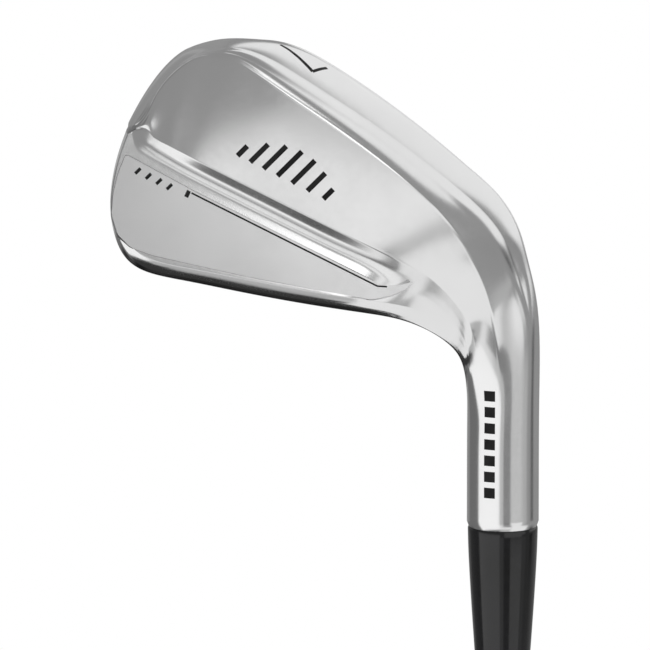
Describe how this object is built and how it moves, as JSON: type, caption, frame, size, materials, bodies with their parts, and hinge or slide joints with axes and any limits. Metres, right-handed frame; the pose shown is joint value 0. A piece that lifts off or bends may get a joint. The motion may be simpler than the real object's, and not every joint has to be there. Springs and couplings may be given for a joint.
{
  "type": "iron golf club",
  "caption": "Right-handed seven iron: hollow steel muscle-back head with face insert, ferrule, stepped steel shaft and rubber grip.",
  "frame": {"origin": "centre of the butt end of the grip, on the shaft axis", "axes": "+Z along the shaft axis from the grip to the head; +Y the way the face looks (target side); -X the way the toe points"},
  "size_m": [0.0872, 0.043, 0.9621],
  "materials": {
    "head_chrome": "satin-polished chrome plate",
    "face_steel": "fine blasted steel with milled score lines",
    "panel_satin": "satin nickel-chrome",
    "tungsten": "sintered, dull grey",
    "damper": "soft polymer",
    "paint_fill": "black enamel fill",
    "epoxy": "cured epoxy",
    "ferrule_gloss": "polished black",
    "shaft_chrome": "bright chrome plate",
    "plug_brass": "turned",
    "band_foil": "plain printed foil",
    "tape": "paper grip tape",
    "grip_rubber": "textured matt rubber",
    "cap_rubber": "moulded matt rubber"
  },
  "bodies": {
    "root": {"head_body": "head_chrome", "face_insert": "face_steel", "rear_panel": "panel_satin", "toe_weight": "tungsten", "heel_weight": "tungsten", "face_damper": "damper", "sole_number_fill": "paint_fill", "panel_line_fill": "paint_fill", "back_mark_fill": "paint_fill", "hosel_mark_fill": "paint_fill", "hosel_epoxy": "epoxy", "ferrule": "ferrule_gloss", "shaft": "shaft_chrome", "tip_plug": "plug_brass", "shaft_band": "band_foil", "grip_tape": "tape", "grip": "grip_rubber", "grip_cap": "cap_rubber"}
  },
  "joints": []
}
